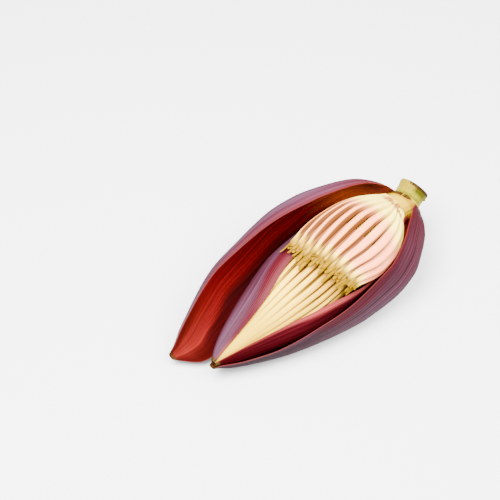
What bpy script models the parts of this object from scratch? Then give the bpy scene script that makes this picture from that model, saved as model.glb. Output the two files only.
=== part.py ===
"""Opened banana blossom, cut from the bunch and lying down: the stem stub, the pleated heart, one hand of
florets and four bracts. Construction solids in metres, +Z up, +X from the tip of the bud to the stem and +Y
toward the bract that has folded open."""
import math

import bmesh
import bpy
import numpy as np
from mathutils import Vector

# ---------------------------------------------------------------- driving dimensions
# Lengths are in millimetres and angles in degrees until the meshes are made. A place along the bud is measured
# from its tip. An angle around an axis line is measured from straight up, and grows toward -Y.
MM = 0.001
NAME = "banana_blossom"
ORIGIN = (107.2, 2.3, 0.0)      # the point of the working frame that becomes the part's origin
GROUND = 0.0                    # lowest height: the bracts are pressed flat where the blossom lies on them

# The middle line of the bud: place, sideways, height.
BUD_AXIS = [
    (-3, 0, 19.5), (10, -0.5, 22), (28, -1, 26), (58, -2, 32), (90, -2.5, 38), (122, -3, 43),
    (154, -3, 47), (184, -3.2, 49.5), (200, -5.6, 48.4), (214, -9.0, 46.8),
]

# Heart: place, radius; then the pleats in its open face.
HEART = [
    (3, 1.3), (5, 3.2), (10, 6.3), (20, 10.9), (40, 17.6), (60, 23.4), (80, 28.1), (100, 29.8), (120, 29.3),
    (140, 27.6), (155, 25), (170, 20.6), (180, 17), (186, 14.5),
]
HEART_ROWS = 22
PLEAT_FROM, PLEAT_TO = -20.0, 84.0
PLEATS = 8
PLEAT_DEPTH = [(3, 0), (25, 0.2), (50, 0.9), (75, 1.7), (92, 2.1), (110, 1.2), (130, 0), (186, 0)]
PLEAT_POINTS = 4                # points across one pleat
BACK_POINTS = 18                # points around the rest of the heart

# Bracts: place, angle of the free edge, angle of the tucked edge, then the outer radius at four places
# spaced evenly from one edge to the other.
INNER_LEFT = [
    (1.5, 18, -176, 3.1, 3.1, 3.1, 3.1), (5, 13, -176, 5.0, 5.6, 5.4, 5.1), (10, 8, -176, 8.2, 9.1, 8.8, 8.3),
    (20, 7, -176, 12.9, 14.0, 13.6, 13.0), (40, 3, -176, 19.9, 21.3, 21.0, 20.1),
    (60, -4, -176, 25.6, 27.4, 27.0, 25.8), (80, -14, -176, 30.1, 32.4, 31.8, 30.3),
    (92, -18, -176, 31.4, 34.2, 33.2, 31.4), (105, -23, -176, 31.8, 34.4, 33.2, 31.8),
    (125, -30, -176, 31.2, 33.7, 32.8, 31.2), (150, -34, -176, 28.2, 30.2, 29.8, 28.2),
    (170, -38, -176, 22.9, 24.2, 24.0, 22.9), (186, -42, -176, 16.9, 17.4, 17.4, 16.9),
    (199, -46, -176, 15.1, 15.1, 15.1, 15.1),
]
INNER_RIGHT = [
    (1.5, 42, 176, 3.1, 3.1, 3.1, 3.1), (5, 44, 176, 5.0, 5.3, 5.2, 5.1), (10, 46, 176, 8.3, 8.7, 8.6, 8.3),
    (20, 51, 176, 12.9, 13.6, 13.4, 13.0), (40, 58, 176, 20.0, 22.0, 21.4, 20.1),
    (60, 64, 176, 25.7, 29.4, 28.0, 25.8), (80, 72, 176, 30.2, 35.0, 33.0, 30.3),
    (100, 79, 176, 33.5, 37.8, 35.0, 31.8), (112, 83, 176, 36.0, 38.6, 35.0, 31.6),
    (130, 92, 176, 37.5, 38.0, 34.0, 30.6), (150, 99, 176, 36.6, 36.0, 32.0, 28.2),
    (170, 97, 176, 31.5, 31.0, 27.5, 22.9), (186, 84, 176, 21.5, 21.5, 19.6, 16.9),
    (199, 72, 176, 15.1, 15.1, 15.1, 15.1),
]
OUTER = [
    (-1, 86, 222, 3.7, 3.8, 3.8, 3.8, 3.7), (2, 86, 222, 5.3, 5.5, 5.5, 5.4, 5.4),
    (5, 87, 222, 7.2, 8.0, 7.8, 7.6, 7.3), (10, 91, 223, 10.5, 11.9, 11.6, 11.2, 10.7),
    (20, 97, 225, 16.4, 18.3, 17.6, 16.6, 15.6), (40, 97, 225, 26.2, 29.3, 28.0, 25.6, 22.9),
    (60, 92, 225, 33.6, 38.2, 36.2, 32.2, 28.8), (80, 88, 225, 39.0, 45.4, 42.3, 36.8, 33.4),
    (100, 88, 225, 42.5, 51.6, 47.4, 39.8, 34.8), (122, 85, 225, 44.0, 56.2, 50.8, 42.8, 35.0),
    (150, 80, 225, 44.0, 58.2, 53.5, 45.5, 35.0), (170, 70, 225, 40.0, 55.2, 52.5, 44.0, 33.0),
    (185, 61, 225, 33.5, 47.0, 47.0, 39.5, 29.5), (196, 55, 219, 26.0, 38.0, 38.4, 33.4, 25.4),
    (204, 48, 209, 19.6, 28.0, 28.6, 25.6, 20.4), (208, 46, 201, 17.6, 20.4, 21.0, 19.8, 18.0),
    (209.5, 45, 199, 16.8, 17.2, 17.5, 17.3, 16.8),
]
OPEN_AXIS = [
    (-16, 31, 11.5), (-5, 29.7, 16), (15, 29, 21.5), (44, 29.3, 28.5), (80, 26, 35.5), (116, 22.5, 40.5),
    (153, 18, 43.5), (186, 11, 48), (197, 4, 49.2), (206, -6.2, 47.6),
]
OPEN = [
    (-16, -54, -235, 3.0, 3.0, 3.0, 3.0), (-10, -50, -236, 5.6, 5.4, 7.4, 10.0),
    (-5, -48, -238, 8.4, 8.2, 10.6, 15.5), (0, -46, -240, 11.4, 11.2, 12.6, 19.5),
    (10, -45, -234, 16.0, 15.8, 17.4, 22.5), (25, -44, -215, 21.8, 21.6, 21.8, 22.8),
    (44, -40, -208, 27.9, 27.9, 27.4, 27.4), (60, -34, -200, 31.8, 31.6, 31.2, 31.2),
    (80, -32, -194, 34.8, 34.8, 34.7, 34.7), (100, -27, -190, 37.7, 37.7, 37.7, 37.7),
    (120, -20, -186, 39.5, 39.5, 39.5, 39.5), (140, -16, -178, 38.5, 38.5, 38.3, 38.3),
    (155, -15, -168, 35.8, 35.8, 35.6, 35.4), (170, -14, -158, 31.8, 31.8, 31.4, 31.0),
    (185, -12, -144, 27.0, 27.0, 27.0, 27.0), (197, -12, -124, 20.8, 21.2, 21.2, 21.0),
    (205, -32, -112, 15.9, 15.8, 15.8, 15.8),
]
BRACT_WALL = 1.5                # wall of a bract along its middle
BRACT_EDGE = 0.6                # share of that wall left at the tip and at the base
BRACT_ROWS = 24
BRACT_COLUMNS = 12

# Florets: place, angle of the first and the last one, radius of their middles, half width, half height.
FRONT_ROW = [
    (194, -20, 54, 16.2, 16.6, 1.7, 1.5), (188, -22, 62, 18.2, 19.2, 2.0, 1.9), (180, -26, 75, 22.4, 24.6, 2.6, 2.4),
    (168, -32, 84, 27.7, 30.2, 3.2, 2.9), (150, -37, 87, 32.5, 34.4, 3.8, 3.3), (130, -37, 83, 35.1, 36.2, 3.9, 3.5),
    (112, -34, 74, 35.9, 36.3, 3.5, 3.2), (104, -33, 71, 35.7, 36.0, 2.9, 2.7), (96, -32, 70, 35.4, 35.6, 2.9, 2.4),
]
FLORETS = 10
FLORET_ROWS = 13
FLORET_SIDES = 8
TIP_LINE = [(-35, 92), (-5, 93), (14, 97), (34, 101), (52, 104), (71, 110)]   # angle, place of the tips

SECOND_ROW = 9                  # shorter florets in the gaps, of which only the ends show
SECOND_ROWS = 6
SECOND_START = 0.55             # share of a floret's length at which one of them begins
SECOND_SINK, SECOND_SLIM, SECOND_REACH = 1.5, 0.78, -4.0
CUSHION = (190.0, -20.0, 55.0, 16.3, 1.9)       # place, first and last angle, radius, half thickness

# Stem: a neck that carries the pieces, then the bent stub: distance along it, radius.
STEM_BEND = (14.3, 6.3)         # turn toward +Y and rise at the ring-shaped scar
STEM_CUT = (9.5, 20.0)          # turn and rise where the stub is cut off
STEM_FOOT = 187.0
STEM_TURNED = 212.0             # place where the stub has reached that turn
STEM = [
    (187, 13.4), (191, 14.0), (196, 13.8), (201, 13.4), (205, 13.9), (207, 15.8), (208.8, 15.8),
    (210.0, 13.0), (214, 12.0), (220, 12.1), (224.4, 12.8), (225.6, 13.2), (226.6, 12.8),
]
STEM_SIDES = 28


# ---------------------------------------------------------------- curves through stations
def ease(stations, at):
    """Monotone cubic through the stations (place, value, ...), read at the places given."""
    rows = np.array(sorted(stations), float)
    place, value = rows[:, 0], rows[:, 1:]
    step = np.diff(place)[:, None]
    slope = np.diff(value, axis=0) / step
    before, after = slope[:-1], slope[1:]
    weigh_a = 2 * step[1:] + step[:-1]
    weigh_b = step[1:] + 2 * step[:-1]
    same = before * after > 0
    mean = np.zeros_like(before)
    mean[same] = ((weigh_a + weigh_b) * np.ones_like(before))[same] / (
        (weigh_a / np.where(same, before, 1)) + (weigh_b / np.where(same, after, 1)))[same]
    grade = np.vstack([slope[:1], mean, slope[-1:]])
    at = np.clip(np.atleast_1d(np.asarray(at, float)), place[0], place[-1])
    i = np.clip(np.searchsorted(place, at, side="right") - 1, 0, len(place) - 2)
    h = step[i]
    t = (at[:, None] - place[i][:, None]) / h
    return (value[i] * (1 + 2 * t) * (1 - t) ** 2 + h * grade[i] * t * (1 - t) ** 2
            + value[i + 1] * t * t * (3 - 2 * t) + h * grade[i + 1] * t * t * (t - 1))


def spaced(first, last, count, crowd=0.6):
    """Places from first to last, closer together near both ends."""
    t = np.linspace(0, 1, count)
    t = (1 - crowd) * t + crowd * (0.5 - 0.5 * np.cos(math.pi * t))
    return first + (last - first) * t


def around(place, centre, angle, radius):
    """The point at an angle and a radius around a centre (sideways, height)."""
    turn = np.radians(angle)
    side = centre[..., 0] - radius * np.sin(turn)
    height = centre[..., 1] + radius * np.cos(turn)
    return np.stack([np.broadcast_to(place, side.shape), side, height], axis=-1)


def bract_surface(stations, axis, rows=BRACT_ROWS, columns=BRACT_COLUMNS):
    """Outer face of a bract as a grid of points, from the base to the tip and from free to tucked edge."""
    place = spaced(stations[-1][0], stations[0][0], rows)
    value = ease(stations, place)
    centre = ease(axis, place)
    across = np.linspace(0, 1, columns)
    angle = value[:, :1] + (value[:, 1:2] - value[:, :1]) * across
    knots = np.linspace(0, 1, value.shape[1] - 2)
    radius = np.array([ease(list(zip(knots, row)), across)[:, 0] for row in value[:, 2:]])
    points = around(place[:, None], centre[:, None, :], angle, radius)
    points[..., 2] = np.maximum(points[..., 2], GROUND)
    return points


def heart_angles():
    """Angles around the heart: fine across the pleated face, coarse behind it."""
    face = np.linspace(PLEAT_FROM, PLEAT_TO, PLEATS * PLEAT_POINTS + 1)
    back = np.linspace(PLEAT_TO, PLEAT_FROM + 360, BACK_POINTS + 1)[1:-1]
    return np.concatenate([face, back])


def heart_surface():
    place = spaced(HEART[-1][0], HEART[0][0], HEART_ROWS, 0.35)
    angle = heart_angles()
    phase = (angle - PLEAT_FROM) / (PLEAT_TO - PLEAT_FROM) * PLEATS
    groove = np.where(phase <= PLEATS, np.abs(np.cos(math.pi * phase)) ** 3, 0.0)
    depth = ease(PLEAT_DEPTH, place)
    radius = ease(HEART, place) - depth * groove
    return around(place[:, None], ease(BUD_AXIS, place)[:, None, :], angle[None, :], radius)


def floret_rings(share, rows=FLORET_ROWS, tip_shift=0.0, sink=0.0, slim=1.0, first=0.0):
    """Rings of one floret; share runs from 0 at the first floret to 1 at the last."""
    tip_angle = FRONT_ROW[-1][1] + share * (FRONT_ROW[-1][2] - FRONT_ROW[-1][1])
    tip = ease(TIP_LINE, tip_angle)[0, 0] + tip_shift
    own = spaced(first, 1.0, rows, 0.5)
    base, end = FRONT_ROW[0][0], FRONT_ROW[-1][0]
    standard = base + (end - base) * own
    place = base + (tip - base) * own
    value = ease(FRONT_ROW, standard)
    angle = value[:, 0] + share * (value[:, 1] - value[:, 0])
    centre = ease(BUD_AXIS, place)
    reach = value[:, 2] + share * (value[:, 3] - value[:, 2]) - sink * own
    middle = around(place, centre, angle, reach)
    along = np.gradient(middle, axis=0)
    along /= np.linalg.norm(along, axis=1)[:, None]
    turn = np.radians(angle)
    out = np.stack([0 * turn, -np.sin(turn), np.cos(turn)], axis=-1)
    side = np.cross(along, out)
    side /= np.linalg.norm(side, axis=1)[:, None]
    lift = np.cross(side, along)
    spin = np.linspace(0, 2 * math.pi, FLORET_SIDES, endpoint=False)
    wide = slim * value[:, 4][:, None, None] * np.cos(spin)[None, :, None] * side[:, None, :]
    high = slim * value[:, 5][:, None, None] * np.sin(spin)[None, :, None] * lift[:, None, :]
    return middle[:, None, :] + wide + high


def heading(turn, rise):
    """Unit vector along +X, turned toward +Y and raised."""
    turn, rise = math.radians(turn), math.radians(rise)
    return np.array([math.cos(rise) * math.cos(turn), math.cos(rise) * math.sin(turn), math.sin(rise)])


def smooth(first, last, at):
    """0 before first, 1 after last, eased between."""
    t = min(1.0, max(0.0, (at - first) / (last - first)))
    return t * t * (3 - 2 * t)


def stem_rings():
    """Rings of the neck and the stub, which bends away from the bud at the ring-shaped scar."""
    rings = []
    spin = np.linspace(0, 2 * math.pi, STEM_SIDES, endpoint=False)
    last = STEM_FOOT
    for place, radius in STEM:
        bend = smooth(STEM_FOOT + 6, STEM_TURNED, place)
        cut = smooth(STEM_TURNED, STEM[-1][0], place)
        along = heading(0, 0) * (1 - bend) + (heading(*STEM_BEND) * (1 - cut) + heading(*STEM_CUT) * cut) * bend
        along /= np.linalg.norm(along)
        if place <= STEM_TURNED - 4:
            middle = np.array([place, *ease(BUD_AXIS, place)[0]])
        else:
            middle = middle + along * (place - last)
        last = place
        side = np.cross((0, 0, 1), along)
        side /= np.linalg.norm(side)
        up = np.cross(along, side)
        rings.append(middle + radius * (np.outer(np.cos(spin), up) - np.outer(np.sin(spin), side)))
    return np.array(rings)


def cushion_rings():
    """Rings of the pad on which the florets stand, along its arc around the neck."""
    place, first, last, radius, half = CUSHION
    turn = np.radians(np.linspace(first, last, 14))
    centre = ease(BUD_AXIS, place)[0]
    out = np.stack([0 * turn, -np.sin(turn), np.cos(turn)], axis=-1)
    middle = np.array([place, *centre]) + radius * out
    spin = np.linspace(0, 2 * math.pi, 8, endpoint=False)
    along = np.array([1.0, 0, 0])
    return middle[:, None, :] + half * (
        np.cos(spin)[None, :, None] * along - np.sin(spin)[None, :, None] * out[:, None, :])


# ---------------------------------------------------------------- Blender objects
def to_part(points):
    """Working millimetres to metres around the part's origin."""
    return (np.asarray(points, float).reshape(-1, 3) - np.array(ORIGIN)) * MM


def material(name, colour, roughness):
    made = bpy.data.materials.new(name)
    made.use_nodes = True
    shader = made.node_tree.nodes["Principled BSDF"]
    shader.inputs["Base Color"].default_value = (*colour, 1.0)
    shader.inputs["Roughness"].default_value = roughness
    shader.inputs["Metallic"].default_value = 0.0
    return made


def mesh_object(name, vertices, faces, collection, look=None):
    mesh = bpy.data.meshes.new(name)
    mesh.from_pydata([tuple(v) for v in vertices], [], faces)
    mesh.validate()
    made = bpy.data.objects.new(name, mesh)
    collection.objects.link(made)
    if look:
        mesh.materials.append(look)
    mesh.shade_smooth()
    return made


def loft(name, rings, collection, look=None):
    """Closed solid through rings of equal size, capped at both ends; the rings turn about their direction."""
    count, size = rings.shape[:2]
    faces = []
    for i in range(count - 1):
        for j in range(size):
            k = (j + 1) % size
            faces.append((i * size + j, i * size + k, (i + 1) * size + k, (i + 1) * size + j))
    faces.append(tuple(reversed(range(size))))
    faces.append(tuple((count - 1) * size + j for j in range(size)))
    made = mesh_object(name, to_part(rings), faces, collection, look)
    settle(made)
    return made


def settle(made):
    """Weld, split into triangles and turn the faces of a closed mesh outward."""
    work = bmesh.new()
    work.from_mesh(made.data)
    bmesh.ops.triangulate(work, faces=work.faces)
    bmesh.ops.remove_doubles(work, verts=work.verts, dist=0.00002)
    bmesh.ops.dissolve_degenerate(work, edges=work.edges, dist=0.00001)
    bmesh.ops.triangulate(work, faces=work.faces)
    bmesh.ops.recalc_face_normals(work, faces=work.faces)
    work.to_mesh(made.data)
    work.free()
    made.data.set_sharp_from_angle(angle=math.radians(50))


def bract(name, stations, axis, collection, look):
    """A curled blade: an open lofted surface, its outer face, with Solidify for the wall."""
    points = bract_surface(stations, axis)
    rows, columns = points.shape[:2]
    faces = []
    for i in range(rows - 1):
        for j in range(columns - 1):
            a = i * columns + j
            faces.append((a, a + 1, a + columns + 1, a + columns))
    made = mesh_object(name, to_part(points), faces, collection, look)
    middle = Vector(to_part(np.array([[place, *ease(axis, place)[0]] for place in (stations[9][0],)]))[0])
    probe = made.data.polygons[len(faces) // 2]
    if probe.normal.dot(probe.center - middle) < 0:
        made.data.flip_normals()
    wall = made.vertex_groups.new(name="wall")
    for i in range(rows):
        end = min(i, rows - 1 - i) / 4.0
        share = BRACT_EDGE + (1 - BRACT_EDGE) * min(1.0, end)
        wall.add([i * columns + j for j in range(columns)], share, "REPLACE")
    split = made.modifiers.new("split", "TRIANGULATE")
    split.quad_method = "FIXED"
    shell = made.modifiers.new("wall", "SOLIDIFY")
    shell.thickness = BRACT_WALL * MM
    shell.offset = -1.0
    shell.vertex_group = "wall"
    return made


def floret_hand(collection, cutters, look):
    """Both rows of florets and their pad, fused into one solid."""
    hand = loft("floret_hand", cushion_rings(), collection, look)
    for i in range(FLORETS):
        loft(f"floret_{i + 1:02d}", floret_rings(i / (FLORETS - 1)), cutters)
    for i in range(SECOND_ROW):
        share = (i + 0.5) / (FLORETS - 1)
        sink = SECOND_SINK * min(1.0, max(0.0, (share - 0.22) / 0.2))
        rings = floret_rings(share, SECOND_ROWS, SECOND_REACH, sink, SECOND_SLIM, SECOND_START)
        loft(f"floret_{FLORETS + i + 1:02d}", rings, cutters)
    for tool in cutters.objects:
        tool.hide_render = True
        tool.display_type = "WIRE"
    union = hand.modifiers.new("fused", "BOOLEAN")
    union.operation = "UNION"
    union.operand_type = "COLLECTION"
    union.collection = cutters
    union.solver = "EXACT"
    bpy.context.view_layer.objects.active = hand
    bpy.ops.object.modifier_apply(modifier=union.name)
    for tool in list(cutters.objects):
        bpy.data.objects.remove(tool, do_unlink=True)
    settle(hand)
    return hand


def main():
    for old in list(bpy.data.objects):
        bpy.data.objects.remove(old, do_unlink=True)
    parts = bpy.data.collections.new(NAME)
    cutters = bpy.data.collections.new(NAME + "_cutters")
    for made in (parts, cutters):
        bpy.context.scene.collection.children.link(made)
    outside = material("bract_mauve", (0.30, 0.13, 0.21), 0.5)
    cream = material("heart_cream", (0.90, 0.78, 0.50), 0.5)
    flower = material("floret_cream_pink", (0.90, 0.62, 0.47), 0.45)
    green = material("stem_yellow_green", (0.72, 0.68, 0.26), 0.5)
    loft("heart", heart_surface(), parts, cream)
    loft("stem", stem_rings(), parts, green)
    bract("bract_inner_left", INNER_LEFT, BUD_AXIS, parts, outside)
    bract("bract_inner_right", INNER_RIGHT, BUD_AXIS, parts, outside)
    bract("bract_outer", OUTER, BUD_AXIS, parts, outside)
    bract("bract_open", OPEN, OPEN_AXIS, parts, outside)
    floret_hand(parts, cutters, flower)


if __name__ == "__main__":
    main()
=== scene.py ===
"""Looks of the opened banana blossom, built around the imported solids: ribbed bracts, a pleated heart, florets
with yellow lobes and a bent stem."""
import math

import bmesh
import bpy
import numpy as np
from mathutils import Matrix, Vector


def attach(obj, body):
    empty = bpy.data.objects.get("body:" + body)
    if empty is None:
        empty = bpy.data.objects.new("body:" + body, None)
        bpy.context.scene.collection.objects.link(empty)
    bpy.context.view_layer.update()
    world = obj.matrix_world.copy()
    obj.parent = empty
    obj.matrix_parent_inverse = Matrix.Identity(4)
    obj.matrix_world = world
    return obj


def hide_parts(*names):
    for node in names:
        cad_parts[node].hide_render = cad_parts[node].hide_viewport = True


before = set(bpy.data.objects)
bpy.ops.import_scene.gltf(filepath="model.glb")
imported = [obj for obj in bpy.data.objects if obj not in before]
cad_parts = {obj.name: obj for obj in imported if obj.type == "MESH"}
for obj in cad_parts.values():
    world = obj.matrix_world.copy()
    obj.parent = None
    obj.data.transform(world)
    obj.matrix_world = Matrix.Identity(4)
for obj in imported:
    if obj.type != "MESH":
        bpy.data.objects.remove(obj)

bl_info = {
    "name": "Banana Blossom",
    "version": (1, 0, 0),
    "blender": (4, 5, 0),
    "location": "3D View > Sidebar > Blossom",
    "description": "Builds an opened banana blossom around its packed solids",
    "category": "Add Mesh",
}

# ---------------------------------------------------------------- shape of the blossom
# Lengths are in millimetres and angles in degrees until the meshes are made. A place along the bud is measured
# from its tip. An angle around an axis line is measured from straight up, and grows toward -Y.
MM = 0.001
ORIGIN = (107.2, 2.3, 0.0)
BUD_AXIS = [
    (-3, 0, 19.5), (10, -0.5, 22), (28, -1, 26), (58, -2, 32), (90, -2.5, 38), (122, -3, 43), (154, -3, 47),
    (184, -3.2, 49.5), (200, -5.6, 48.4), (214, -9, 46.8),
]
OPEN_AXIS = [
    (-16, 31, 11.5), (-5, 29.7, 16), (15, 29, 21.5), (44, 29.3, 28.5), (80, 26, 35.5), (116, 22.5, 40.5),
    (153, 18, 43.5), (186, 11, 48), (197, 4, 49.2), (206, -6.2, 47.6),
]
# Bracts: place, angle of the free edge, angle of the tucked edge, then the outer radius from edge to edge.
INNER_LEFT = [
    (1.5, 18, -176, 3.1, 3.1, 3.1, 3.1), (5, 13, -176, 5, 5.6, 5.4, 5.1), (10, 8, -176, 8.2, 9.1, 8.8, 8.3),
    (20, 7, -176, 12.9, 14, 13.6, 13), (40, 3, -176, 19.9, 21.3, 21, 20.1),
    (60, -4, -176, 25.6, 27.4, 27, 25.8), (80, -14, -176, 30.1, 32.4, 31.8, 30.3),
    (92, -18, -176, 31.4, 34.2, 33.2, 31.4), (105, -23, -176, 31.8, 34.4, 33.2, 31.8),
    (125, -30, -176, 31.2, 33.7, 32.8, 31.2), (150, -34, -176, 28.2, 30.2, 29.8, 28.2),
    (170, -38, -176, 22.9, 24.2, 24, 22.9), (186, -42, -176, 16.9, 17.4, 17.4, 16.9),
    (199, -46, -176, 15.1, 15.1, 15.1, 15.1),
]
INNER_RIGHT = [
    (1.5, 42, 176, 3.1, 3.1, 3.1, 3.1), (5, 44, 176, 5, 5.3, 5.2, 5.1), (10, 46, 176, 8.3, 8.7, 8.6, 8.3),
    (20, 51, 176, 12.9, 13.6, 13.4, 13), (40, 58, 176, 20, 22, 21.4, 20.1),
    (60, 64, 176, 25.7, 29.4, 28, 25.8), (80, 72, 176, 30.2, 35, 33, 30.3),
    (100, 79, 176, 33.5, 37.8, 35, 31.8), (112, 83, 176, 36, 38.6, 35, 31.6),
    (130, 92, 176, 37.5, 38, 34, 30.6), (150, 99, 176, 36.6, 36, 32, 28.2),
    (170, 97, 176, 31.5, 31, 27.5, 22.9), (186, 84, 176, 21.5, 21.5, 19.6, 16.9),
    (199, 72, 176, 15.1, 15.1, 15.1, 15.1),
]
OUTER = [
    (-1, 86, 222, 3.7, 3.8, 3.8, 3.8, 3.7), (2, 86, 222, 5.3, 5.5, 5.5, 5.4, 5.4),
    (5, 87, 222, 7.2, 8, 7.8, 7.6, 7.3), (10, 91, 223, 10.5, 11.9, 11.6, 11.2, 10.7),
    (20, 97, 225, 16.4, 18.3, 17.6, 16.6, 15.6), (40, 97, 225, 26.2, 29.3, 28, 25.6, 22.9),
    (60, 92, 225, 33.6, 38.2, 36.2, 32.2, 28.8), (80, 88, 225, 39, 45.4, 42.3, 36.8, 33.4),
    (100, 88, 225, 42.5, 51.6, 47.4, 39.8, 34.8), (122, 85, 225, 44, 56.2, 50.8, 42.8, 35),
    (150, 80, 225, 44, 58.2, 53.5, 45.5, 35), (170, 70, 225, 40, 55.2, 52.5, 44, 33),
    (185, 61, 225, 33.5, 47, 47, 39.5, 29.5), (196, 55, 219, 26, 38, 38.4, 33.4, 25.4),
    (204, 48, 209, 19.6, 28, 28.6, 25.6, 20.4), (208, 46, 201, 17.6, 20.4, 21, 19.8, 18),
    (209.3, 45, 199, 16.6, 17, 17.3, 17.1, 16.6), (210.2, 45, 199, 13.8, 13.8, 13.8, 13.8, 13.8),
]
OPEN = [
    (-16, -54, -235, 3, 3, 3, 3), (-10, -50, -236, 5.6, 5.4, 7.4, 10), (-5, -48, -238, 8.4, 8.2, 10.6, 15.5),
    (0, -46, -240, 11.4, 11.2, 12.6, 19.5), (10, -45, -234, 16, 15.8, 17.4, 22.5),
    (25, -44, -215, 21.8, 21.6, 21.8, 22.8), (44, -40, -208, 27.9, 27.9, 27.4, 27.4),
    (60, -34, -200, 31.8, 31.6, 31.2, 31.2), (80, -32, -194, 34.8, 34.8, 34.7, 34.7),
    (100, -27, -190, 37.7, 37.7, 37.7, 37.7), (120, -20, -186, 39.5, 39.5, 39.5, 39.5),
    (140, -16, -178, 38.5, 38.5, 38.3, 38.3), (155, -15, -168, 35.8, 35.8, 35.6, 35.4),
    (170, -14, -158, 31.8, 31.8, 31.4, 31), (185, -12, -144, 27, 27, 27, 27),
    (197, -12, -124, 20.8, 21.2, 21.2, 21), (205, -32, -112, 15.9, 15.8, 15.8, 15.8),
    (206.6, -33, -111, 13.6, 13.6, 13.6, 13.6),
]
HEART = [
    (3, 1.3), (5, 3.2), (10, 6.3), (20, 10.9), (40, 17.6), (60, 23.4), (80, 28.1), (100, 29.8), (120, 29.3),
    (140, 27.6), (155, 25), (170, 20.6), (180, 17), (186, 14.5),
]
PLEAT_FROM, PLEAT_TO = -20.0, 84.0
PLEAT_DEPTH = [
    (3, 0), (22, 0.02), (34, 0.22), (46, 0.65), (58, 1.15), (70, 1.7), (84, 2.3), (95, 2.5), (112, 1.6),
    (130, 0.6), (186, 0),
]
# Florets: place, angle of the first and the last one, radius of their middles, half width.
FRONT_ROW = [
    (194, -20, 54, 16.2, 16.6, 1.7), (188, -21, 62, 18.2, 19.2, 2), (180, -24, 75, 22.4, 24.6, 2.6),
    (168, -30, 84, 27.7, 30.2, 3.2), (150, -37, 87, 32.5, 34.4, 3.8), (130, -38.5, 83, 35.1, 36.2, 3.9),
    (112, -35.5, 74, 35.9, 36.3, 3.5), (104, -33, 71, 35.7, 36, 2.9), (96, -32, 70, 35.4, 35.6, 2.9),
]
TIP_LINE = [(-35, 92), (-5, 93), (14, 97), (34, 101), (52, 104), (71, 110)]
MOUTH_SHIFT = 8.0       # the tubes stop this far short of the tip line, and the yellow lobes run on from there
FAN_WARP = 0.24         # how strongly the florets crowd toward the first one along their middles
SIDE_SHARE = 1.085      # one more floret lies against the edge of the sheltering bract
SECOND_START, SECOND_SINK, SECOND_SLIM, SECOND_REACH = 0.55, 1.5, 0.78, -4.0
# Stem: place, radius; then the turn and rise of its bent part and of its cut end.
STEM = [
    (187, 13.4), (191, 14), (196, 13.8), (201, 13.4), (205, 13.9), (207, 15.8), (208.8, 15.8), (210, 13),
    (214, 12), (220, 12.1), (224.4, 12.8), (225.6, 13.2), (226.6, 12.8),
]
STEM_FOOT, STEM_TURNED, STEM_END = STEM[0][0], 212.0, STEM[-1][0]
STEM_BEND, STEM_CUT = (14.3, 6.3), (9.5, 20.0)
KNOBS = [(221.6, 1.68, 1.5), (207.4, 1.4, 1.6)]        # place, turn in radians, radius
KNOB_HEIGHT, STUB_RADIUS = 1.4, 12.5
CAMERA_AIM = (0.0, 0.0, 20.0)           # working millimetres
CAMERA_SHIFT = (0.02983, 0.08988)       # metres, to the right and up in the view


def ease(stations, at):
    """Monotone cubic through the stations (place, value, ...), read at the places given."""
    rows = np.array(sorted(stations), float)
    place, value = rows[:, 0], rows[:, 1:]
    step = np.diff(place)[:, None]
    slope = np.diff(value, axis=0) / step
    before, after = slope[:-1], slope[1:]
    weigh_a = 2 * step[1:] + step[:-1]
    weigh_b = step[1:] + 2 * step[:-1]
    same = before * after > 0
    mean = (weigh_a + weigh_b) / (weigh_a / np.where(same, before, 1) + weigh_b / np.where(same, after, 1))
    grade = np.vstack([slope[:1], np.where(same, mean, 0), slope[-1:]])
    at = np.clip(np.atleast_1d(np.asarray(at, float)), place[0], place[-1])
    i = np.clip(np.searchsorted(place, at, side="right") - 1, 0, len(place) - 2)
    h = step[i]
    t = (at[:, None] - place[i][:, None]) / h
    return (value[i] * (1 + 2 * t) * (1 - t) ** 2 + h * grade[i] * t * (1 - t) ** 2
            + value[i + 1] * t * t * (3 - 2 * t) + h * grade[i + 1] * t * t * (t - 1))


def spaced(first, last, count, crowd):
    """Places from first to last, closer together near both ends."""
    t = np.linspace(0, 1, count)
    t = (1 - crowd) * t + crowd * (0.5 - 0.5 * np.cos(math.pi * t))
    return first + (last - first) * t


def smooth(first, last, at):
    """0 before first, 1 after last, eased between; first may be the larger."""
    t = np.clip((np.asarray(at, float) - first) / (last - first), 0, 1)
    return t * t * (3 - 2 * t)


def around(place, centre, angle, radius):
    """The point at an angle and a radius around a centre (sideways, height)."""
    turn = np.radians(angle)
    side = centre[..., 0] - radius * np.sin(turn)
    height = centre[..., 1] + radius * np.cos(turn)
    return np.stack([np.broadcast_to(place, side.shape), side, height], axis=-1)


def unit(vectors):
    """Vectors made one long."""
    return vectors / np.maximum(np.linalg.norm(vectors, axis=-1, keepdims=True), 1e-9)


def to_part(points):
    """Working millimetres to metres around the part's origin."""
    return (np.asarray(points, float) - np.array(ORIGIN)) * MM


# ---------------------------------------------------------------- node trees written as expressions
UV = "Across"


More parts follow.
